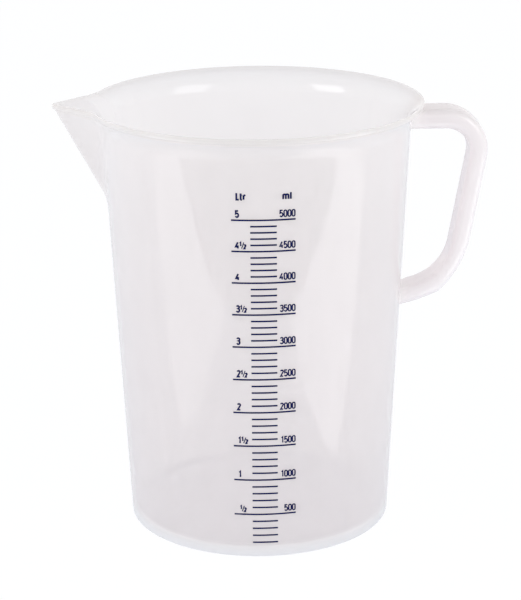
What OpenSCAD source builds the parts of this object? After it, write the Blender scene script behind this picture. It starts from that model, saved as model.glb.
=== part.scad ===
// Measuring jug, 5 litres, moulded in one piece from translucent polypropylene, with a printed scale.
// Millimetres. Z is the axis of the bowl and Z = 0 is the surface that the foot stands on.
// The spout points along -X, the handle along +X, and the scale faces -Y.

/* [Bowl] */
// Height from the table to the top of the rim
jug_h = 270; // [210:1:340]
// Outer diameter of the foot
foot_d = 166; // [136:1:190]
// Outer diameter that the straight wall would have at rim height
mouth_d = 192.5; // [170:0.5:225]
// Thickness of the wall and floor
wall = 2.4; // [1.6:0.1:3.2]
// Height of the inside floor above the table
floor_h = 5; // [4.5:0.1:8]
// Width of the foot ring that the jug stands on
foot_w = 3.4; // [2.4:0.1:6]
// Radius round the inside of the floor
floor_fillet = 4; // [1:0.5:8]
// Radius round the outside of the foot
foot_edge = 0.8; // [0.3:0.1:1.2]

/* [Rim] */
// Outer diameter of the flared rim
rim_d = 207.4; // [180:0.2:245]
// Height over which the wall flares out
flare_h = 16; // [10:0.5:24]
// Width of the flat land on top of the rim
rim_land = 1.2; // [0.5:0.1:2]
// Height of the upright band round the outside of the rim and the spout
rim_band = 3.2; // [1.5:0.1:6]
// Height of straight wall between the rim's lower end and the flare
rim_root = 3; // [2:0.5:8]

/* [Spout] */
// Distance from the jug's axis to the tip
spout_reach = 125.5; // [112:0.5:145]
// Lean of the spout's keel away from vertical, in degrees
keel_lean = 28.1; // [20:0.1:38]
// Angle between the keel and each side, seen from above, in degrees
spout_half_angle = 46.5; // [35:0.5:52]
// Radius along the outside of the keel
keel_r = 3.2; // [2.6:0.1:6]
// Width of the flat land on top of the spout, at the tip
spout_land = 2.3; // [1:0.1:4]

/* [Handle] */
// Distance from the jug's axis to the back of the handle
handle_reach = 143.4; // [130:0.2:175]
// Depth of the handle from front to back
handle_depth = 25; // [16:0.5:36]
// Thickness of the top arm
top_arm_t = 12.4; // [10:0.1:16]
// Thickness of the grip
grip_t = 11; // [10:0.1:16]
// Thickness of the lower arm at the wall
low_arm_t = 11; // [10:0.1:16]
// Drop from the rim's top to the top of the handle
handle_drop = 5.9; // [4:0.1:12]
// Drop from the rim's top to the underside of the lower arm, at the wall
handle_span = 131.9; // [110:0.1:150]
// Lean of the grip towards the bowl, in degrees
grip_lean = 10.4; // [5:0.1:15]
// Slope of the lower arm at the wall, in degrees
low_arm_slope = 12; // [5:0.5:20]
// Outside radius of the top corner
top_bend_out = 26.4; // [20:0.2:32]
// Inside radius of the top corner
top_bend_in = 15.4; // [8:0.2:18]
// Inside radius of the lower bend
low_bend_in = 32; // [20:0.5:38]
// Outside radius above the heel
heel_bend = 64; // [40:0.5:75]
// Turn of that outside bend before it ends at the heel's corner, in degrees
heel_turn = 37; // [25:0.5:45]
// Lift of the heel's corner off the straight line of the lower arm's underside
heel_lift = 3; // [1:0.1:6]
// Rounding of the handle's edges
handle_edge = 4.5; // [2:0.1:5]

/* [Scale] */
// Capacity at the top line, in millilitres
capacity_ml = 5000; // [1000:500:5000]
// Volume between one line and the next, in millilitres
step_ml = 100; // [50:50:250]
// Number of steps from one long line to the next
steps_per_long = 5; // [2:1:10]
// Length of a long line, along the wall
long_line = 38; // [20:0.5:60]
// Length of a short line, along the wall
short_line = 15.6; // [8:0.2:30]
// Height of a printed line
line_h = 0.85; // [0.4:0.05:1.5]

/* [Hidden] */
$fn = 96;

// Colours of the moulding and of the ink
plastic = [0.93, 0.92, 0.93, 0.75];
ink = [0.10, 0.13, 0.33];

// Overrun of every cut
over = 1;
// Thickness of the ink, and the gap that keeps it clear of the wall
ink_t = 0.1;
ink_gap = 0.02;

// The wall: its slope, its lean in degrees, and its outer radius at a height z
wall_slope = (mouth_d - foot_d) / 2 / jug_h;
wall_lean = atan(wall_slope);
function wall_r(z) = foot_d / 2 + wall_slope * z;
// The same for the inside face, which lies one wall thickness in
wall_inset = wall / cos(wall_lean);
function inside_r(z) = wall_r(z) - wall_inset;
// Direction square to the wall, pointing out
out_of_wall = [cos(wall_lean), -sin(wall_lean)];
// Centres of the rounds at the foot and at the inside floor, which run on smoothly into the wall
foot_c = [wall_r(foot_edge) - foot_edge / cos(wall_lean), foot_edge];
floor_c = [
    inside_r(floor_h + floor_fillet) - floor_fillet / cos(wall_lean),
    floor_h + floor_fillet
];

// The flare: both faces are arcs about one centre, and run on smoothly from the wall.
// The inside arc starts at flare_z and ends at the inner edge of the rim's land.
flare_z = jug_h - flare_h;
flare_run = rim_d / 2 - rim_land - inside_r(flare_z);
flare_in_r = (pow(flare_h, 2) + pow(flare_run, 2))
    / (2 * (flare_run * cos(wall_lean) - flare_h * sin(wall_lean)));
flare_out_r = flare_in_r - wall;
flare_c = [inside_r(flare_z), flare_z] + flare_in_r * out_of_wall;
flare_foot = flare_c - flare_out_r * out_of_wall;
// Point straight below the rim's outer edge, on the line from the flare's foot to its centre
flare_share = (rim_d / 2 - flare_foot[0]) / (flare_c[0] - flare_foot[0]);
flare_inner = flare_foot + flare_share * (flare_c - flare_foot);
// Underside of the upright band, and the rim's lower end, where it joins the body
band_z = jug_h - rim_band;
rim_z = flare_z - rim_root;

// The spout: half the angle between its sides, in a section square to the keel
section_half_angle = atan(tan(spout_half_angle) / cos(keel_lean));
// Distance from the jug's axis to where the wedge ends: the sides run closest to the axis there
wedge_end = spout_reach * pow(sin(spout_half_angle), 2);
// Flat steps round the nose of the keel
nose_steps = 6;

// The handle is drawn by an outer and an inner outline in the XZ plane, both of tangent arcs.
// Directions: square to the grip, pointing out, square to the lower arm, pointing up, and along it.
out_of_grip = [cos(grip_lean), -sin(grip_lean)];
up_from_arm = [-sin(low_arm_slope), cos(low_arm_slope)];
along_arm = [cos(low_arm_slope), sin(low_arm_slope)];
arm_top = jug_h - handle_drop;
arm_under = arm_top - top_arm_t;
// Start of the lower arm's underside, on the wall
low_z = jug_h - handle_span;
low_foot = [wall_r(low_z), low_z];
// Centres of the top corner's arcs
top_out_c = [handle_reach - top_bend_out, arm_top - top_bend_out];
top_in_z = arm_under - top_bend_in;
top_in_c = [
    top_out_c[0] + (top_bend_out - grip_t - top_bend_in + (top_in_z - top_out_c[1]) * sin(grip_lean))
        / cos(grip_lean),
    top_in_z
];
// Point at a distance out in the grip's direction and a distance up in the arm's direction
function crossing(out, up) = [
    out * cos(low_arm_slope) + up * sin(grip_lean),
    up * cos(grip_lean) + out * sin(low_arm_slope)
] / cos(grip_lean + low_arm_slope);
// Centre of the inside bend, which touches the grip and the top of the lower arm
grip_face = top_out_c * out_of_grip + top_bend_out;
arm_base = low_foot * up_from_arm;
low_in_c = crossing(grip_face - grip_t - low_bend_in, arm_base + low_arm_t + low_bend_in);
// Centre of the outside bend, which touches the grip and ends at the heel's corner
function on_arc(centre, radius, angle) = centre + radius * [cos(angle), sin(angle)];
heel_angle = -grip_lean - heel_turn;
heel_drop = on_arc([0, 0], heel_bend, heel_angle) * up_from_arm;
heel_c = crossing(grip_face - heel_bend, arm_base + heel_lift - heel_drop);
heel = on_arc(heel_c, heel_bend, heel_angle);
// Arc of the underside, from the heel's corner to the wall
under_r = pow(norm(heel - low_foot), 2) / (2 * heel_lift);
under_c = low_foot + under_r * up_from_arm;
under_start = atan2(heel[1] - under_c[1], heel[0] - under_c[0]);
under_end = low_arm_slope - 90;
// How far the arms run into the wall before they are trimmed to it
handle_bury = 3 * wall;
// Steps round each bend, and round each edge of the section
bend_steps = 10;
edge_steps = 4;
// Points of an arc, from one angle to another
function bend(centre, radius, start, end, steps) =
    [for (i = [0 : steps]) on_arc(centre, radius, start + i / steps * (end - start))];
// Outlines from the top arm round to the lower arm, with a point of one for each point of the other
outer_line = concat(
    [[wall_r(rim_z) - handle_bury, arm_top]],
    bend(top_out_c, top_bend_out, 90, -grip_lean, bend_steps),
    bend(heel_c, heel_bend, -grip_lean, heel_angle, bend_steps),
    bend(under_c, under_r, under_start, under_end, bend_steps),
    [low_foot - handle_bury * along_arm]
);
inner_line = concat(
    [[wall_r(rim_z) - handle_bury, arm_under]],
    bend(top_in_c, top_bend_in, 90, -grip_lean, bend_steps),
    bend(low_in_c, low_bend_in, -grip_lean, under_end, 2 * bend_steps + 1),
    [low_foot - handle_bury * along_arm + low_arm_t * up_from_arm]
);
// Rounded section between an outer and an inner outline point
function handle_ring(outer, inner) =
    let (half = norm(outer - inner) / 2, across = (outer - inner) / (2 * half))
    [for (corner = [0 : 3], i = [0 : edge_steps])
        let (turn = 90 * (corner + i / edge_steps),
            side = corner == 0 || corner == 3 ? 1 : -1,
            front = corner < 2 ? 1 : -1,
            u = side * (half - handle_edge) + handle_edge * cos(turn),
            v = front * (handle_depth / 2 - handle_edge) + handle_edge * sin(turn),
            p = (outer + inner) / 2 + u * across)
        [p[0], v, p[1]]];

// The scale: the ring of volume that the fillet fills, and the height that holds a volume
mm3_per_ml = 1000;
corner_area_share = 1 - PI / 4;
corner_centre_share = (10 - 3 * PI) / (12 - 3 * PI);
fillet_ring = 2 * PI * (inside_r(floor_h) - corner_centre_share * floor_fillet)
    * corner_area_share * pow(floor_fillet, 2);
function level(ml) =
    (pow(pow(inside_r(floor_h), 3) + 3 * wall_slope * (ml * mm3_per_ml + fillet_ring) / PI, 1 / 3)
        - inside_r(0)) / wall_slope;
// Lines are printed only where the wall is straight
lines = [for (n = [1 : floor(capacity_ml / step_ml)]) if (level(n * step_ml) < flare_z - line_h) n];

// What a round takes off the corner between a level face and the wall above it
module corner_waste(centre, r) {
    far = r + over;
    difference() {
        polygon([centre, centre - [0, far], centre + [far, -far], centre + far * out_of_wall]);
        translate(centre) circle(r = r);
    }
}

// Profile of the whole moulding with nothing hollowed out
module filled_profile() {
    difference() {
        polygon([
            [0, 0],
            [foot_d / 2, 0],
            flare_foot,
            flare_inner,
            [rim_d / 2, jug_h],
            [0, jug_h]
        ]);
        corner_waste(foot_c, foot_edge);
        intersection() {
            translate(flare_c) circle(r = flare_out_r);
            square([rim_d, band_z]);
        }
    }
}

// Profile of the hollow that holds the liquid
module hollow_profile() {
    difference() {
        polygon([
            [0, floor_h],
            [inside_r(floor_h), floor_h],
            [inside_r(flare_z), flare_z],
            flare_c,
            [flare_c[0], jug_h + over],
            [0, jug_h + over]
        ]);
        corner_waste(floor_c, floor_fillet);
        translate(flare_c) circle(r = flare_in_r);
    }
}

module filled() { rotate_extrude() filled_profile(); }
module hollow() { rotate_extrude() hollow_profile(); }

// The recess under the floor that leaves the foot ring standing
module foot_recess() {
    recess_r = foot_d / 2 - foot_w;
    translate([0, 0, -over]) cylinder(r = recess_r, h = floor_h - wall + over);
}

// Upright slab between two heights, wide enough to hold the whole jug
module slab(z_low, z_high) {
    translate([0, 0, z_low]) cylinder(r = handle_reach + spout_reach, h = z_high - z_low);
}

// A wedge opening along +X, whose rounded nose touches the origin
module wedge_2d(half_angle, nose_r, depth) {
    nose = [for (i = [0 : nose_steps])
        let (turn = 90 + half_angle + i / nose_steps * (180 - 2 * half_angle))
        nose_r * [1 + cos(turn), sin(turn)]];
    wide = nose[0][1] + (depth - nose[0][0]) * tan(half_angle);
    polygon(concat(nose, [[depth, -wide], [depth, wide]]));
}

// The leaning wedge of the spout, drawn in by an inset from its outside
module leaning_wedge(inset) {
    keel_x = spout_reach - spout_land + wall / cos(keel_lean);
    translate([-keel_x, 0, jug_h])
        rotate([0, -keel_lean, 0])
            translate([inset, 0, -jug_h])
                linear_extrude(2 * jug_h)
                    wedge_2d(section_half_angle, keel_r - inset, spout_reach);
}

// Region that the wedge may fill
module spout_zone() {
    translate([-2 * spout_reach, -rim_d / 2, 0]) cube([2 * spout_reach - wedge_end, rim_d, jug_h]);
}

// Outer and inner faces of the spout
module spout_outer() {
    intersection() {
        union() {
            leaning_wedge(0);
            slab(band_z, jug_h + over);
        }
        spout_zone();
        translate([-spout_reach, 0, 0]) linear_extrude(jug_h)
            wedge_2d(spout_half_angle, keel_r, spout_reach);
    }
}

module spout_inner() {
    intersection() {
        leaning_wedge(wall);
        translate([0, 0, over]) spout_zone();
    }
}

module body() {
    color(plastic) difference() {
        filled();
        hollow();
        foot_recess();
        spout_inner();
        slab(rim_z, jug_h + over);
    }
}

module rim() {
    color(plastic) difference() {
        filled();
        hollow();
        spout_inner();
        slab(-over, rim_z);
    }
}

module spout() {
    color(plastic) difference() {
        spout_outer();
        spout_inner();
        filled();
    }
}

module handle() {
    rings = [for (i = [0 : len(outer_line) - 1]) handle_ring(outer_line[i], inner_line[i])];
    sides = len(rings[0]);
    last = (len(rings) - 1) * sides;
    walls = [for (r = [0 : len(rings) - 2], i = [0 : sides - 1])
        let (a = r * sides + i, b = r * sides + (i + 1) % sides)
        each [[a, b, b + sides], [a, b + sides, a + sides]]];
    ends = [[for (i = [sides - 1 : -1 : 0]) i], [for (i = [0 : sides - 1]) last + i]];
    color(plastic) difference() {
        polyhedron([for (ring = rings) each ring], concat(walls, ends));
        filled();
    }
}

// One printed line at a volume: a band that follows the wall
module printed_line(ml, length) {
    z = level(ml);
    turn = length / wall_r(z) * 180 / PI;
    rotate([0, 0, -90 - turn / 2])
        rotate_extrude(angle = turn)
            polygon([
                [wall_r(z - line_h / 2) + ink_gap, z - line_h / 2],
                [wall_r(z - line_h / 2) + ink_gap + ink_t, z - line_h / 2],
                [wall_r(z + line_h / 2) + ink_gap + ink_t, z + line_h / 2],
                [wall_r(z + line_h / 2) + ink_gap, z + line_h / 2]
            ]);
}

module major_graduations() {
    color(ink) for (n = lines) if (n % steps_per_long == 0) printed_line(n * step_ml, long_line);
}

module minor_graduations() {
    color(ink) for (n = lines) if (n % steps_per_long != 0) printed_line(n * step_ml, short_line);
}

body();
rim();
spout();
handle();
major_graduations();
minor_graduations();
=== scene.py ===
import bpy
import bmesh
import math
import numpy as np
from mathutils import Matrix, Vector


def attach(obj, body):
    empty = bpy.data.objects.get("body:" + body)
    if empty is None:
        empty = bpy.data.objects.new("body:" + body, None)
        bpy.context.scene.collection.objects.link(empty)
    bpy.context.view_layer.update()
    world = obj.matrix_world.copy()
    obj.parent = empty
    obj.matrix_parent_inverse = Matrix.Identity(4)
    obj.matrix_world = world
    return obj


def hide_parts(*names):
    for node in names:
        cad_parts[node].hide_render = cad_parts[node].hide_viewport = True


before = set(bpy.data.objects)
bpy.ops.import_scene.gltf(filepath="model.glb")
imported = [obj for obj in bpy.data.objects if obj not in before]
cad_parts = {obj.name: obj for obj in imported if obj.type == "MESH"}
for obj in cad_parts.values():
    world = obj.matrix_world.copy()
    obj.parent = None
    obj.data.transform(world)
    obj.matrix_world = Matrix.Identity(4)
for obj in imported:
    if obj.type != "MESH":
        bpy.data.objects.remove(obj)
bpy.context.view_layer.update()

# A measuring jug of milky plastic: one moulding (bowl, rim, spout and handle) and five prints of
# ink (long lines, short lines, litre numerals, millilitre numerals and unit headings).
# The jug stands on z = 0 round the z axis, with its spout towards -x, its handle towards +x and
# its scale towards -y. Sizes of the jug are in millimetres until they go into a mesh, and those
# of the floor, the lamps and the shaders are in metres.
MM = 0.001

# The bowl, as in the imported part
JUG_H = 270.0
FOOT_R = 83.0
MOUTH_R = 96.25
WALL = 2.4
FLOOR_H = 5.0
FOOT_W = 3.4
FLOOR_FILLET = 4.0
FOOT_EDGE = 0.8
RIM_R = 103.7
FLARE_H = 16.0
RIM_LAND = 1.2
RIM_BAND = 3.2
SLOPE = (MOUTH_R - FOOT_R) / JUG_H
LEAN = math.atan(SLOPE)
INSET = WALL / math.cos(LEAN)
RECESS_R = FOOT_R - FOOT_W
BAND_Z = JUG_H - RIM_BAND
# Rounding of the rim's two upper edges, outside and inside
RIM_ROUND, LIP_ROUND = 0.6, 0.5

# The spout: a wedge with a rounded nose, which leans out of the wall
SPOUT_REACH = 125.5
SPOUT_LAND = 2.3
KEEL_LEAN = math.radians(28.1)
HALF_ANGLE = math.radians(46.5)
KEEL_R, KEEL_IN_R = 3.2, 1.6
# Width over which the wedge blends into the round outer wall, inner wall and rim
OUTER_BLEND, INNER_BLEND, BAND_BLEND = 3.0, 0.9, 4.0


def vec(x, z):
    return np.array([x, z], float)


def on_arc(c, r, a):
    return c + r * vec(math.cos(a), math.sin(a))


def bend(c, r, a, b, steps):
    """Points on an arc round c from angle a to angle b."""
    return [on_arc(c, r, a + i / steps * (b - a)) for i in range(steps + 1)]


def wall_r(z):
    return FOOT_R + SLOPE * z


def inside_r(z):
    return wall_r(z) - INSET


# The flare is an arc, tangent to the inner wall at FLARE_Z and through the land's inner edge
FLARE_Z = JUG_H - FLARE_H
FLARE_RUN = RIM_R - RIM_LAND - inside_r(FLARE_Z)
FLARE_IN = (FLARE_H ** 2 + FLARE_RUN ** 2) / (2 * (FLARE_RUN * math.cos(LEAN) - FLARE_H * math.sin(LEAN)))
FLARE_OUT = FLARE_IN - WALL
FLARE_C = (inside_r(FLARE_Z) + FLARE_IN * math.cos(LEAN), FLARE_Z - FLARE_IN * math.sin(LEAN))


def flare_r(radius, z):
    return FLARE_C[0] - math.sqrt(max(radius ** 2 - (z - FLARE_C[1]) ** 2, 0))


def outside_profile(z):
    """Outer radius of the bowl without its spout."""
    return wall_r(z) if z <= FLARE_C[1] + FLARE_OUT * math.sin(LEAN) else flare_r(FLARE_OUT, z)


def inside_profile(z):
    """Inner radius of the bowl without its spout."""
    return inside_r(z) if z <= FLARE_Z else flare_r(FLARE_IN, z)


def smooth_max(a, b, k):
    h = np.maximum(k - np.abs(a - b), 0) / k
    return np.maximum(a, b) + h * h * k / 4


def wedge_r(turn, tip, nose):
    """Distance from the axis to a wedge with a rounded nose, at an angle from the spout's direction."""
    turn = np.abs(turn)
    apex = tip + nose * (1 / math.sin(HALF_ANGLE) - 1)
    side = apex * math.sin(HALF_ANGLE) / np.sin(np.clip(turn + HALF_ANGLE, 0.01, math.pi - 0.01))
    c = apex - nose / math.sin(HALF_ANGLE)
    touch = math.atan2(nose * math.cos(HALF_ANGLE), c + nose * math.sin(HALF_ANGLE))
    ball = c * np.cos(turn) + np.sqrt(np.maximum(nose ** 2 - (c * np.sin(turn)) ** 2, 0))
    r = np.where(turn < touch, ball, side)
    return np.where(turn < math.pi / 2 - HALF_ANGLE, r, 0)


def keel_tip(z, inset):
    """Reach of the keel at height z, outside or, with an inset, inside."""
    out = SPOUT_REACH - SPOUT_LAND + (WALL / math.cos(KEEL_LEAN) if inset == 0 else 0)
    return out - (JUG_H - z) * math.tan(KEEL_LEAN)


def outer_r(turn, z):
    return smooth_max(outside_profile(z), wedge_r(turn, keel_tip(z, 0), KEEL_R), OUTER_BLEND)


def inner_r(turn, z):
    return smooth_max(inside_profile(z), wedge_r(turn, keel_tip(z, WALL), KEEL_IN_R), INNER_BLEND)


def band_r(turn):
    return smooth_max(RIM_R, wedge_r(turn, SPOUT_REACH, KEEL_R), BAND_BLEND)


def new_mesh(name, verts, faces):
    me = bpy.data.meshes.new(name)
    me.from_pydata([tuple(v) for v in verts], [], [tuple(f) for f in faces])
    me.validate()
    ob = bpy.data.objects.new(name, me)
    bpy.context.scene.collection.objects.link(ob)
    return ob


def face_outwards(ob):
    bm = bmesh.new()
    bm.from_mesh(ob.data)
    bmesh.ops.recalc_face_normals(bm, faces=bm.faces)
    bm.to_mesh(ob.data)
    bm.free()


# The bowl with its rim and spout: one closed skin of rings, from the middle of the underside,
# up the outside, over the rim and down the inside to the middle of the floor.
# The turns are closer together across the keel and where the spout's sides meet the round.
half = np.radians(np.concatenate([
    np.arange(0, 3, 0.3), np.arange(3, 10, 0.7), np.arange(10, 22, 0.4), np.arange(22, 36, 1.2),
    np.arange(36, 180, 2.5)]))
turns = np.concatenate([-half[:0:-1], half, [math.pi]])
rings = []


def ring(z, r):
    rings.append((z, np.broadcast_to(np.asarray(r, float), turns.shape).copy()))


# Recess under the floor, foot ring and its outer edge
roof = FLOOR_H - WALL
for z, r in ((roof, RECESS_R - 40), (roof, RECESS_R - 4), (roof, RECESS_R - 0.6),
             (roof - 0.2, RECESS_R - 0.15), (roof - 0.6, RECESS_R), (0.4, RECESS_R),
             (0.1, RECESS_R + 0.1), (0, RECESS_R + 0.4)):
    ring(z, r)
foot_c = vec(wall_r(FOOT_EDGE) - FOOT_EDGE / math.cos(LEAN), FOOT_EDGE)
for r, z in bend(foot_c, FOOT_EDGE, -math.pi / 2, -LEAN, 5):
    ring(z, r)
# Outside of the wall and the flare
for z in np.concatenate([np.arange(2, 10, 2), np.arange(10, 190, 6), np.arange(190, 250, 2),
                         np.arange(250, BAND_Z - 0.5, 0.8)]):
    ring(z, outer_r(turns, z))
# The rim's band, with a soft step at its lower edge and a rounded upper edge
band = band_r(turns)
below = outer_r(turns, BAND_Z - 0.3)
for z, r in ((BAND_Z - 0.1, below + 0.15 * (band - below)), (BAND_Z, below + 0.5 * (band - below)),
             (BAND_Z + 0.02, band - 0.3), (BAND_Z + 0.12, band - 0.1), (BAND_Z + 0.35, band),
             (JUG_H - RIM_ROUND - 0.6, band), (JUG_H - RIM_ROUND, band)):
    ring(z, r)
for a in map(math.radians, (22.5, 45, 67.5, 90)):
    ring(JUG_H - RIM_ROUND + RIM_ROUND * math.sin(a), band - RIM_ROUND * (1 - math.cos(a)))
# The land and its rounded inner edge
ring(JUG_H, inner_r(turns, JUG_H) + LIP_ROUND)
for a in map(math.radians, (30, 60, 90)):
    z = JUG_H - LIP_ROUND * (1 - math.cos(a))
    ring(z, inner_r(turns, z) + LIP_ROUND * (1 - math.sin(a)))
# Inside of the flare and the wall, the fillet and the floor
for z in np.concatenate([np.arange(JUG_H - 1.2, 250, -0.8), np.arange(250, 190, -2),
                         np.arange(190, FLOOR_H + FLOOR_FILLET + 2, -6)]):
    ring(z, inner_r(turns, z))
fillet_z = FLOOR_H + FLOOR_FILLET
for r, z in bend(vec(inside_r(fillet_z) - FLOOR_FILLET / math.cos(LEAN), fillet_z), FLOOR_FILLET,
                 -LEAN, -math.pi / 2, 8):
    ring(z, r)
ring(FLOOR_H, 70)
ring(FLOOR_H, 40)

n = len(turns)
verts, faces = [], []
for z, r in rings:
    for t, q in zip(turns, r):
        verts.append((-q * math.cos(t) * MM, -q * math.sin(t) * MM, z * MM))
verts += [(0, 0, rings[0][0] * MM), (0, 0, rings[-1][0] * MM)]
under_mid, floor_mid = len(verts) - 2, len(verts) - 1
last = (len(rings) - 1) * n
for k in range(len(rings) - 1):
    for i in range(n):
        j = (i + 1) % n
        faces.append((k * n + i, k * n + j, (k + 1) * n + j, (k + 1) * n + i))
for i in range(n):
    j = (i + 1) % n
    faces.append((under_mid, j, i))
    faces.append((floor_mid, last + i, last + j))
moulding = new_mesh("moulding", verts, faces)

# The handle: rounded sections swept between an outer and an inner outline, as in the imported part
REACH, DEPTH = 143.4, 25.0
TOP_T, GRIP_T, LOW_T = 12.4, 11.0, 11.0
DROP, SPAN = 5.9, 131.9
GRIP_LEAN, ARM_SLOPE = math.radians(10.4), math.radians(12)
TOP_OUT, TOP_IN, LOW_IN, HEEL_R = 26.4, 15.4, 32.0, 64.0
HEEL_TURN, HEEL_RISE = math.radians(37), 8.2
# Rounding of the section's corners, and how deep the ends go into the bowl's wall
EDGE_R, BURY = 4.9, 1.3
ARC_STEPS, SIDES = 14, 40

out_grip = vec(math.cos(GRIP_LEAN), -math.sin(GRIP_LEAN))
up_arm = vec(-math.sin(ARM_SLOPE), math.cos(ARM_SLOPE))
along = vec(math.cos(ARM_SLOPE), math.sin(ARM_SLOPE))
arm_top = JUG_H - DROP
arm_under = arm_top - TOP_T
low_z = JUG_H - SPAN
low_foot = vec(wall_r(low_z), low_z)
# Centres of the outline's arcs
top_out_c = vec(REACH - TOP_OUT, arm_top - TOP_OUT)
tz = arm_under - TOP_IN
top_in_c = vec(top_out_c[0] + (TOP_OUT - GRIP_T - TOP_IN
                               + (tz - top_out_c[1]) * math.sin(GRIP_LEAN)) / math.cos(GRIP_LEAN), tz)
grip_face = top_out_c @ out_grip + TOP_OUT
lo = grip_face - GRIP_T - LOW_IN
lu = low_foot @ up_arm + LOW_T + LOW_IN
low_in_c = vec(lo * math.cos(ARM_SLOPE) + lu * math.sin(GRIP_LEAN),
               lu * math.cos(GRIP_LEAN) + lo * math.sin(ARM_SLOPE)) / math.cos(GRIP_LEAN + ARM_SLOPE)
heel_a = -GRIP_LEAN - HEEL_TURN
hz = low_z + HEEL_RISE - HEEL_R * math.sin(heel_a)
heel_c = vec((grip_face - HEEL_R + hz * math.sin(GRIP_LEAN)) / math.cos(GRIP_LEAN), hz)
heel = on_arc(heel_c, HEEL_R, heel_a)
chord = heel - low_foot
under_r = chord @ chord / (2 * chord @ up_arm)
under_c = low_foot + under_r * up_arm
ua = math.atan2(heel[1] - under_c[1], heel[0] - under_c[0])
ub = ARM_SLOPE - math.pi / 2

ARM_XS = (92, 104, 106, 110, 114)
outer_line = [vec(x, arm_top) for x in ARM_XS]
inner_line = [vec(x, arm_under) for x in ARM_XS]
outer_line += bend(top_out_c, TOP_OUT, math.pi / 2, -GRIP_LEAN, ARC_STEPS)
inner_line += bend(top_in_c, TOP_IN, math.pi / 2, -GRIP_LEAN, ARC_STEPS)
grip_a, grip_b = outer_line[-1], inner_line[-1]
heel_pts = bend(heel_c, HEEL_R, -GRIP_LEAN, heel_a, ARC_STEPS) + bend(under_c, under_r, ua, ub, ARC_STEPS)
low_pts = bend(low_in_c, LOW_IN, -GRIP_LEAN, ub, 2 * ARC_STEPS + 1)
for s in (0.2, 0.4, 0.6, 0.8):
    outer_line.append(grip_a + s * (heel_pts[0] - grip_a))
    inner_line.append(grip_b + s * (low_pts[0] - grip_b))
outer_line += heel_pts
inner_line += low_pts
outer_line.append(low_foot - 6 * along)
inner_line.append(low_foot - 6 * along + LOW_T * up_arm)

hv, hf = [], []
for o, i in zip(outer_line, inner_line):
    mid, h = (o + i) / 2, np.linalg.norm(o - i) / 2
    ac = (o - i) / (2 * h)
    e = min(EDGE_R, h - 0.05)
    for k in range(SIDES):
        q, f = divmod(k, SIDES // 4)
        a = math.radians(90) * (q + f / (SIDES // 4 - 1))
        su = 1 if q in (0, 3) else -1
        sv = 1 if q < 2 else -1
        u = su * (h - e) + e * math.cos(a)
        v = sv * (DEPTH / 2 - e) + e * math.sin(a)
        p = mid + u * ac
        hv.append([p[0], v, p[1]])
hv = np.array(hv)
# Both ends follow the round wall, a little below its face
for first in (0, len(outer_line) - 1):
    for k in range(SIDES):
        a = hv[first * SIDES + k]
        a[0] = math.sqrt((outside_profile(a[2]) - BURY) ** 2 - a[1] ** 2)
for r in range(len(outer_line) - 1):
    for k in range(SIDES):
        j = (k + 1) % SIDES
        hf.append((r * SIDES + k, r * SIDES + j, (r + 1) * SIDES + j, (r + 1) * SIDES + k))
m = (len(outer_line) - 1) * SIDES
hf.append(tuple(range(SIDES - 1, -1, -1)))
hf.append(tuple(m + k for k in range(SIDES)))
handle = new_mesh("handle_tool", hv * MM, hf)

# Bowl and handle joined into one skin
face_outwards(moulding)
face_outwards(handle)
mod = moulding.modifiers.new("join", "BOOLEAN")
mod.operation = "UNION"
mod.solver = "EXACT"
mod.object = handle
bpy.context.view_layer.update()
joined = bpy.data.meshes.new_from_object(moulding.evaluated_get(bpy.context.evaluated_depsgraph_get()))
moulding.modifiers.clear()
moulding.data = joined
bpy.data.objects.remove(handle)
SHARP_ANGLE = math.radians(38)
joined.polygons.foreach_set("use_smooth", [True] * len(joined.polygons))
joined.set_sharp_from_angle(angle=SHARP_ANGLE)
joined.update()


def ramp(x, low, high):
    t = np.clip((x - low) / (high - low), 0, 1)
    return t * t * (3 - 2 * t)


# Masks for the plastic's material, from 0 to 1 at each point. Clearance is measured from the
# bowl's round outer face (proud) and from its inner face with the spout's hollow (deep).
co = np.empty(3 * len(joined.vertices), np.float32)
joined.vertices.foreach_get("co", co)
x, y, z = (co.reshape(-1, 3) / MM).T
around = np.hypot(x, y)
shell = np.array([outside_profile(h) for h in np.clip(z, 0, BAND_Z)])
proud = around - shell
turned = np.arctan2(np.abs(y), -x)
hollow = np.array([float(inner_r(t, h)) for t, h in zip(turned, np.clip(z, FLOOR_H, JUG_H))])
deep = around - hollow
grip = ramp(proud, 0.4, 1.6) * (x > 0) * ramp(BAND_Z - z, 0.5, 2) * (np.abs(y) < DEPTH)
keel = ramp(proud, 2, 5) * (x < 0)
rim_edge = ramp(z, BAND_Z - 3, BAND_Z - 1) * np.maximum(
    ramp(deep, 0.6, 1.8), 0.75 * ramp(z, JUG_H - 4.5, JUG_H - 0.5))
# Foot ring and underside, up to 9 mm, painted lighter as light
foot_ring_painted_light = (0.8 * ramp(-z, -9, -5) * ramp(around, RECESS_R - 5, RECESS_R - 2)
         * ramp(np.maximum(deep, 4.9 - z), 0.6, 1.8))
masks = {
    # Thick plastic, which lets less light through and is painted a darker tone as shade
    "thick_painted_shade": np.max([grip, rim_edge, foot_ring_painted_light, keel], axis=0),
    # Rim's edge and keel, painted darker and warmer as shade
    "rim_keel_painted_shade": np.maximum(rim_edge, 0.5 * keel),
    # Foot ring, painted a lighter tone as light
    "foot_ring_painted_light": foot_ring_painted_light,
    # Inside face of the wall, less glossy up to 235 mm
    "core": ramp(hollow + 1.2 - around, 0, 0.8) * ramp(235 - z, 0, 20),
}
for name, mask in masks.items():
    joined.attributes.new(name, "FLOAT", "POINT").data.foreach_set("value", mask.astype(np.float32))
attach(moulding, "root")
for cad_node in ("body", "rim", "spout", "handle"):
    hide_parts(cad_node)


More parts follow.
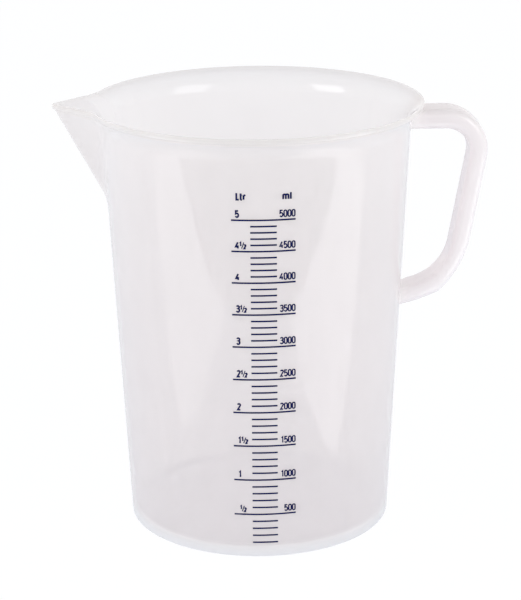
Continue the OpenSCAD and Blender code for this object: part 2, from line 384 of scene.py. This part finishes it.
def level(ml):
    """Height at which the bowl holds a volume: a cone with a filleted floor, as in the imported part."""
    area = 1 - math.pi / 4
    centre = (10 - 3 * math.pi) / (12 - 3 * math.pi)
    ring_v = 2 * math.pi * (inside_r(FLOOR_H) - centre * FLOOR_FILLET) * area * FLOOR_FILLET ** 2
    cube = inside_r(FLOOR_H) ** 3 + 3 * SLOPE * (ml * 1000 + ring_v) / math.pi
    return (cube ** (1 / 3) - inside_r(0)) / SLOPE


# The scale's ink lies between these distances off the wall
INK_LOW, INK_HIGH = 0.01, 0.07


def on_wall(u, z, out):
    """Point at a distance u along the wall from the middle of the scale, at height z."""
    r = wall_r(z)
    a = u / r
    r += out
    return (r * math.sin(a) * MM, -r * math.cos(a) * MM, z * MM)


class Ink:
    """Thin closed strips of ink on the wall."""

    def __init__(self):
        self.v, self.f = [], []

    def strip(self, left, right):
        """left and right are lists of (u, z) along the two edges."""
        base = len(self.v)
        count = len(left)
        for lp, rp in zip(left, right):
            for (u, z), out in ((lp, INK_LOW), (rp, INK_LOW), (rp, INK_HIGH), (lp, INK_HIGH)):
                self.v.append(on_wall(u, z, out))
        for i in range(count - 1):
            a, b = base + 4 * i, base + 4 * (i + 1)
            for k in range(4):
                j = (k + 1) % 4
                self.f.append((a + k, a + j, b + j, b + k))
        self.f.append((base + 3, base + 2, base + 1, base))
        e = base + 4 * (count - 1)
        self.f.append((e, e + 1, e + 2, e + 3))

    def stroke(self, pts, width):
        """A strip of even width along a line of points, with mitred corners."""
        pts = [np.array(p, float) for p in pts]
        # Two arcs joined end to end repeat a point, which has no direction
        pts = [p for i, p in enumerate(pts) if i == 0 or np.linalg.norm(p - pts[i - 1]) > 1e-6]
        left, right = [], []
        for i, p in enumerate(pts):
            a = pts[max(i - 1, 0)]
            b = pts[min(i + 1, len(pts) - 1)]
            d1 = p - a if i > 0 else b - p
            d2 = b - p if i < len(pts) - 1 else p - a
            d1, d2 = d1 / np.linalg.norm(d1), d2 / np.linalg.norm(d2)
            t = d1 + d2
            t = t / max(np.linalg.norm(t), 1e-6)
            nrm = np.array([-t[1], t[0]])
            w = width / 2 / max(abs(nrm @ np.array([-d1[1], d1[0]])), 0.5)
            left.append(tuple(p + nrm * w))
            right.append(tuple(p - nrm * w))
        self.strip(left, right)

    def make(self, name):
        ob = new_mesh(name, self.v, self.f)
        face_outwards(ob)
        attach(ob, "root")
        return ob


LONG_LINE, SHORT_LINE, LINE_H = 38.0, 15.6, 1.04
long_ink, short_ink = Ink(), Ink()
for k in range(1, 51):
    z = level(100 * k)
    length, points, ink = (LONG_LINE, 25, long_ink) if k % 5 == 0 else (SHORT_LINE, 11, short_ink)
    us = np.linspace(-length / 2, length / 2, points)
    ink.strip([(u, z - LINE_H / 2) for u in us], [(u, z + LINE_H / 2) for u in us])
long_lines = long_ink.make("ink_long_lines")
short_lines = short_ink.make("ink_short_lines")
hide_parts("major_graduations")
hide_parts("minor_graduations")


def arc(cx, cy, rx, ry, a, b, steps=8):
    return [(cx + rx * math.cos(math.radians(a + i / steps * (b - a))),
             cy + ry * math.sin(math.radians(a + i / steps * (b - a)))) for i in range(steps + 1)]


# Centre lines of the characters, in a box 1 high, with its width as the first value
GLYPHS = {
    "0": (0.41, [arc(0.205, 0.8, 0.205, 0.2, 0, 180) + arc(0.205, 0.2, 0.205, 0.2, 180, 360)
                 + [(0.41, 0.8)]]),
    "1": (0.3, [[(0.02, 0.78), (0.2, 1.0), (0.2, 0.0)]]),
    "2": (0.4, [arc(0.2, 0.8, 0.2, 0.2, 170, -25) + [(0.0, 0.0), (0.41, 0.0)]]),
    "3": (0.4, [arc(0.2, 0.77, 0.2, 0.23, 160, -90, 10) + arc(0.2, 0.26, 0.22, 0.28, 90, -160, 10)]),
    "4": (0.44, [[(0.33, 1.0), (0.0, 0.27), (0.46, 0.27)], [(0.34, 0.5), (0.34, 0.0)]]),
    "5": (0.4, [[(0.4, 1.0), (0.04, 1.0), (0.02, 0.55)] + arc(0.2, 0.31, 0.22, 0.31, 110, -155, 10)]),
    "L": (0.3, [[(0.0, 1.0), (0.0, 0.0), (0.36, 0.0)]]),
    "t": (0.3, [[(0.1, 0.95), (0.1, 0.1), (0.17, 0.0), (0.3, 0.0)], [(-0.04, 0.66), (0.29, 0.66)]]),
    "r": (0.28, [[(0.0, 0.7), (0.0, 0.0)], [(0.0, 0.5), (0.1, 0.66), (0.28, 0.7)]]),
    "m": (0.78, [[(0.0, 0.72), (0.0, 0.0)], arc(0.195, 0.52, 0.195, 0.2, 170, 0, 6) + [(0.39, 0.0)],
                 arc(0.585, 0.52, 0.195, 0.2, 170, 0, 6) + [(0.78, 0.0)]]),
    "l": (0.18, [[(0.12, 1.0), (0.12, 0.0)]]),
}
CHAR_GAP = 0.22


def text_width(s, h):
    return sum(GLYPHS[c][0] for c in s) * h + CHAR_GAP * h * (len(s) - 1)


def write(ink, s, u, z, h, w):
    """Characters h high in strokes w wide, from u to the right, standing on z."""
    for c in s:
        width, strokes = GLYPHS[c]
        for pts in strokes:
            ink.stroke([(u + x * h, z + y * h) for x, y in pts], w)
        u += (width + CHAR_GAP) * h


def one_half(ink, u, z, h, w):
    """A small one, a slanted bar and a small two."""
    small = 0.6 * h
    write(ink, "1", u, z + h - small, small, w * 1.15)
    ink.stroke([(u + 0.26 * h, z), (u + 0.6 * h, z + h)], w * 0.7)
    write(ink, "2", u + 0.64 * h, z, small, w * 1.15)


# Height, stroke and distance above the line's middle of the numerals; the litres' strokes are bolder
NUM_H, NUM_W, ABOVE, BOLD = 3.85, 0.85, 1.9, 0.2
# Right edges of the litres' whole digits and of the millilitres, and left edges of a half
LITRES_END, MILLILITRES_END = -14.7, 18.5
HALF_AFTER_DIGIT, HALF_ALONE = -13.9, -15.2
HEAD_H, HEAD_W = 4.05, 1.12
litres, millilitres, headings = Ink(), Ink(), Ink()
for k in range(1, 11):
    z = level(500 * k) + ABOVE
    whole, halves = divmod(k, 2)
    if whole:
        digit = str(whole)
        write(litres, digit, LITRES_END - text_width(digit, NUM_H), z, NUM_H, NUM_W + BOLD)
    if halves:
        one_half(litres, HALF_AFTER_DIGIT if whole else HALF_ALONE, z, NUM_H, NUM_W)
    digits = str(500 * k)
    write(millilitres, digits, MILLILITRES_END - text_width(digits, NUM_H), z, NUM_H, NUM_W)
write(headings, "Ltr", -15.7, level(5000) + 12.6, HEAD_H, HEAD_W)
write(headings, "ml", 11.55, level(5000) + 12.5, HEAD_H, HEAD_W)
numerals = [
    litres.make("ink_litre_numerals"),
    millilitres.make("ink_millilitre_numerals"),
    headings.make("ink_unit_headings"),
]


# Node helpers: a value is either an output to link or a number or colour to set
def material(name):
    mat = bpy.data.materials.new(name)
    mat.use_nodes = True
    mat.node_tree.nodes.clear()
    return mat, mat.node_tree


def node(nt, kind, **values):
    nd = nt.nodes.new(kind)
    for k, v in values.items():
        setattr(nd, k, v)
    return nd


def feed(nt, sock, v):
    if isinstance(v, bpy.types.NodeSocket):
        nt.links.new(v, sock)
    else:
        sock.default_value = v


def calc(nt, operation, *values):
    nd = node(nt, "ShaderNodeMath", operation=operation)
    for sock, v in zip(nd.inputs, values):
        feed(nt, sock, v)
    return nd.outputs[0]


def noise(nt, coords, scale, detail):
    nd = node(nt, "ShaderNodeTexNoise")
    for k, v in (("Vector", coords), ("Scale", scale), ("Detail", detail)):
        feed(nt, nd.inputs[k], v)
    return nd.outputs["Fac"]


def span(nt, value, low, high, a, b):
    """Value from low to high, taken to a to b and held there beyond."""
    nd = node(nt, "ShaderNodeMapRange")
    for k, v in (("Value", value), ("From Min", low), ("From Max", high), ("To Min", a), ("To Max", b)):
        feed(nt, nd.inputs[k], v)
    return nd.outputs["Result"]


def mixed(nt, fac, a, b, kind="RGBA"):
    nd = node(nt, "ShaderNodeMix", data_type=kind)
    first, result = (6, 2) if kind == "RGBA" else (2, 0)
    for i, v in ((0, fac), (first, a), (first + 1, b)):
        feed(nt, nd.inputs[i], v)
    return nd.outputs[result]


def bumped(nt, height, strength, distance, normal=None):
    nd = node(nt, "ShaderNodeBump")
    for k, v in (("Height", height), ("Strength", strength), ("Distance", distance)):
        feed(nt, nd.inputs[k], v)
    if normal is not None:
        feed(nt, nd.inputs["Normal"], normal)
    return nd.outputs["Normal"]


def shader(nt, kind, **inputs):
    """A shader node with its inputs by name, with _ for a space."""
    nd = node(nt, kind)
    for k, v in inputs.items():
        feed(nt, nd.inputs[k.replace("_", " ")], v)
    return nd.outputs[0]


def blended(nt, fac, a, b):
    nd = node(nt, "ShaderNodeMixShader")
    for sock, v in zip(nd.inputs, (fac, a, b)):
        feed(nt, sock, v)
    return nd.outputs[0]


def surface(nt, shade, kind="ShaderNodeOutputMaterial"):
    feed(nt, node(nt, kind).inputs["Surface"], shade)


def object_coords(nt):
    return node(nt, "ShaderNodeTexCoord").outputs["Object"]


def mask_here(nt, name):
    return node(nt, "ShaderNodeAttribute", attribute_name=name).outputs["Fac"]


# Milky plastic: a skin that scatters light, mixed with a clear share where the plastic is thin
plastic, nt = material("milky_plastic")
coords = object_coords(nt)
cloud = noise(nt, coords, 14.0, 4.0)
thick_with_painted_shade = mask_here(nt, "thick_painted_shade")
tone = mixed(nt, span(nt, cloud, 0.35, 0.65, 0.0, 1.0), (0.94, 0.88, 0.886, 1), (0.965, 0.905, 0.911, 1))
# Painted shade: a darker tone where the plastic is thick, on the handle, rim's edge, keel and foot
for fac, colour in ((thick_with_painted_shade, (0.875, 0.825, 0.843, 1)),
                    # Painted light: a lighter tone on the foot ring
                    (mask_here(nt, "foot_ring_painted_light"), (0.98, 0.965, 0.96, 1)),
                    # Painted shade: a darker, warmer tone on the rim's edge and keel
                    (mask_here(nt, "rim_keel_painted_shade"), (0.83, 0.765, 0.735, 1))):
    tone = mixed(nt, fac, tone, colour)
waves = bumped(nt, noise(nt, coords, 28.0, 1.0), span(nt, thick_with_painted_shade, 0.0, 1.0, 0.5, 0.1), 0.001)
grain = bumped(nt, noise(nt, coords, 220.0, 2.0), span(nt, thick_with_painted_shade, 0.0, 1.0, 0.03, 0.01), 0.0004, waves)
gloss = calc(nt, "ADD", span(nt, cloud, 0.3, 0.7, 0.03, 0.05), span(nt, thick_with_painted_shade, 0.0, 1.0, 0.0, 0.14))
gloss = calc(nt, "ADD", gloss, span(nt, mask_here(nt, "core"), 0.0, 1.0, 0.0, 0.3))
skin = shader(nt, "ShaderNodeBsdfPrincipled", Base_Color=tone, Roughness=gloss, Normal=grain, IOR=1.49,
              Specular_IOR_Level=1.0, Subsurface_Weight=1.0, Subsurface_Scale=0.02,
              Subsurface_Radius=(1.0, 1.0, 1.0))
through = shader(nt, "ShaderNodeBsdfTransparent", Color=(0.985, 0.97, 0.972, 1))
# Less clear where it is thick and where it is seen edge-on. A ray on its way out of the plastic
# passes, so that each wall counts once.
edge_on = node(nt, "ShaderNodeLayerWeight")
edge_on.inputs["Blend"].default_value = 0.5
thin = calc(nt, "MULTIPLY", span(nt, thick_with_painted_shade, 0.0, 1.0, 0.36, 0.05),
            span(nt, edge_on.outputs["Facing"], 0.35, 0.9, 1.0, 0.1))
clear = calc(nt, "MAXIMUM", thin, node(nt, "ShaderNodeNewGeometry").outputs["Backfacing"])
surface(nt, blended(nt, clear, skin, through))
moulding.data.materials.clear()
moulding.data.materials.append(plastic)

# Dark blue ink, a little uneven
ink_mat, nt = material("printed_ink")
uneven = noise(nt, object_coords(nt), 900.0, 3.0)
tone = mixed(nt, span(nt, uneven, 0.45, 0.75, 0.0, 1.0), (0.003, 0.006, 0.066, 1), (0.008, 0.015, 0.105, 1))
surface(nt, shader(nt, "ShaderNodeBsdfPrincipled", Base_Color=tone, Specular_IOR_Level=0.15,
                   Roughness=span(nt, uneven, 0.3, 0.7, 0.35, 0.6), Normal=bumped(nt, uneven, 0.15, 0.00005)))
for ob in (long_lines, short_lines, *numerals):
    ob.data.materials.clear()
    ob.data.materials.append(ink_mat)

# The floor: a white table that ends in front of the jug, so that the jug's front mirrors the dark
# space beyond its edge. It glows at full white where it is seen directly or through the plastic,
# and less where it is mirrored or only lights the jug.
FLOOR_FRONT, FLOOR_BACK, FLOOR_SIDE = -0.433, 2.2, 1
MIRRORED = 0.2
GLOW_UNSEEN, GLOW_SEEN = 0.47, 0.45
floor = new_mesh("floor", [(-FLOOR_SIDE, FLOOR_FRONT, 0), (FLOOR_SIDE, FLOOR_FRONT, 0),
                           (FLOOR_SIDE, FLOOR_BACK, 0), (-FLOOR_SIDE, FLOOR_BACK, 0)], [(0, 1, 2, 3)])
floor.location.z = -0.0001
floor_mat, nt = material("white_floor")
ray = node(nt, "ShaderNodeLightPath").outputs
seen = calc(nt, "MAXIMUM", ray["Is Camera Ray"], calc(nt, "MULTIPLY", ray["Is Glossy Ray"], MIRRORED))
seen = calc(nt, "MAXIMUM", seen, ray["Is Transmission Ray"])
surface(nt, blended(nt, calc(nt, "MULTIPLY_ADD", seen, GLOW_SEEN, GLOW_UNSEEN),
                    shader(nt, "ShaderNodeBsdfDiffuse", Color=(0.67, 0.75, 0.90, 1)),
                    shader(nt, "ShaderNodeEmission", Strength=1.04)))
floor.data.materials.append(floor_mat)


# Lamps
def softbox(name, place, target, width, height, watts):
    data = bpy.data.lights.new(name, "AREA")
    data.shape = "RECTANGLE"
    data.size, data.size_y = width, height
    data.energy = watts
    ob = bpy.data.objects.new(name, data)
    bpy.context.scene.collection.objects.link(ob)
    ob.location = place
    ob.rotation_euler = (Vector(target) - Vector(place)).to_track_quat("-Z", "Y").to_euler()
    return ob


def card(name, x, watts):
    """Soft light lying on the table by its front edge, shining up."""
    place = (x, -0.278, 0.001)
    ob = softbox(name, place, (place[0], place[1], 1), 0.62, 0.31, watts)
    ob.rotation_euler = (math.pi, 0, 0)
    ob.data.color = (1.0, 0.96, 0.92)


card("card_left", -0.51, 0.47)
card("card_right", 0.47, 0.62)
softbox("lamp_left", (-0.85, -0.39, 0.61), (0, 0, 0.26), 0.45, 0.40, 1.4)
softbox("lamp_right", (0.745, -0.562, 0.618), (0, 0, 0.26), 0.52, 0.5, 1.35)

# The world: white where it is seen directly or through the plastic. Otherwise a room that is
# brightest behind the jug, dimmer below the horizon in front, and dimmest overhead.
world = bpy.data.worlds.new("studio")
bpy.context.scene.world = world
world.use_nodes = True
nt = world.node_tree
nt.nodes.clear()
ray = node(nt, "ShaderNodeLightPath").outputs
seen = calc(nt, "MAXIMUM", ray["Is Camera Ray"], ray["Is Transmission Ray"])
towards = node(nt, "ShaderNodeSeparateXYZ")
nt.links.new(node(nt, "ShaderNodeTexCoord").outputs["Generated"], towards.inputs["Vector"])
high = span(nt, towards.outputs["Z"], 0.25, 1.0, 0.0, 1.0)
low = span(nt, towards.outputs["Z"], -0.2, 0.05, 0.58, 0.94)
behind = span(nt, towards.outputs["Y"], -0.2, 0.4, 0.0, 1.0)
strength = mixed(nt, high, mixed(nt, behind, low, 1.0, "FLOAT"), 0.44, "FLOAT")
surface(nt, blended(nt, seen,
                    shader(nt, "ShaderNodeBackground", Color=(1.0, 0.985, 0.985, 1), Strength=strength),
                    shader(nt, "ShaderNodeBackground", Color=(1, 1, 1, 1), Strength=1.0)),
        "ShaderNodeOutputWorld")

# The camera, from the fit to the photo: focal length in pixels, distance and height in
# millimetres, angles in radians. The jug's own turn about its axis is taken up by the camera.
CAM_F, CAM_D, CAM_Z = 2067.77, 1250.64, 550.30
PITCH, YAW, ROLL, TURN = 0.31700, 0.00133, -0.00924, 0.03949
PHOTO_H, SENSOR = 600, 36
fw = Vector((math.sin(YAW) * math.cos(PITCH), math.cos(YAW) * math.cos(PITCH), -math.sin(PITCH)))
right = fw.cross(Vector((0, 0, 1))).normalized()
up = right.cross(fw)
right, up = math.cos(ROLL) * right + math.sin(ROLL) * up, -math.sin(ROLL) * right + math.cos(ROLL) * up
spin = Matrix.Rotation(-TURN, 3, "Z")
place = spin @ Vector((0, -CAM_D, CAM_Z)) * MM
right, up, back = spin @ right, spin @ up, spin @ -fw
cam_data = bpy.data.cameras.new("camera")
cam_data.sensor_width = SENSOR
cam_data.lens = CAM_F / PHOTO_H * SENSOR
cam_data.clip_start = 0.01
cam = bpy.data.objects.new("camera", cam_data)
cam.matrix_world = Matrix((
    (right.x, up.x, back.x, place.x),
    (right.y, up.y, back.y, place.y),
    (right.z, up.z, back.z, place.z),
    (0, 0, 0, 1)))
bpy.context.scene.collection.objects.link(cam)
bpy.context.scene.camera = cam
bpy.context.scene.view_settings.view_transform = "Standard"
